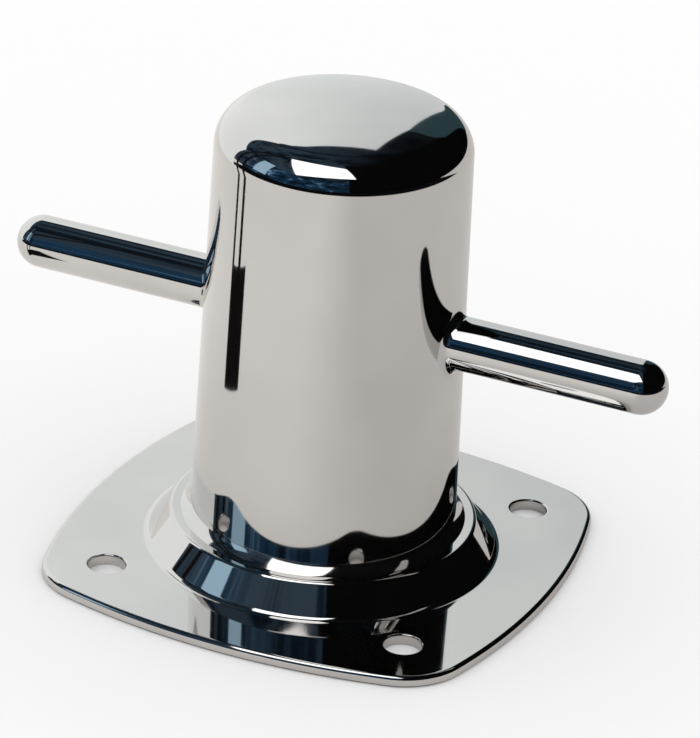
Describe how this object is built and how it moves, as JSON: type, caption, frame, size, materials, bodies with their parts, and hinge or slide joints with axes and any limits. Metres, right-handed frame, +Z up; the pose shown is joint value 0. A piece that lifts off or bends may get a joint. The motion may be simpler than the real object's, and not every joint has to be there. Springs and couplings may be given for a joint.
{
  "type": "mooring bollard",
  "caption": "Deck bollard: a round capped post with a straight cross bar, welded to a square pressed base plate with a raised boss and corner bolt holes.",
  "frame": {"origin": "centre of the base plate's underside, on the post's axis, in the deck plane", "axes": "+Z up the post's axis, +X along the cross bar and parallel to a side of the plate"},
  "size_m": [0.157, 0.111, 0.1086],
  "materials": {
    "mirror_stainless": "mirror-polished stainless steel",
    "polished_weld": "stainless weld bead, ground and polished",
    "brushed_weld": "stainless weld bead, wire-brushed only"
  },
  "bodies": {
    "root": {"base_plate": "mirror_stainless", "post_tube": "mirror_stainless", "top_cap": "mirror_stainless", "cross_bar": "mirror_stainless", "cap_seam_weld": "polished_weld", "foot_weld": "polished_weld", "bar_weld_left": "polished_weld", "bar_weld_right": "polished_weld", "foot_root_weld": "brushed_weld"}
  },
  "joints": []
}
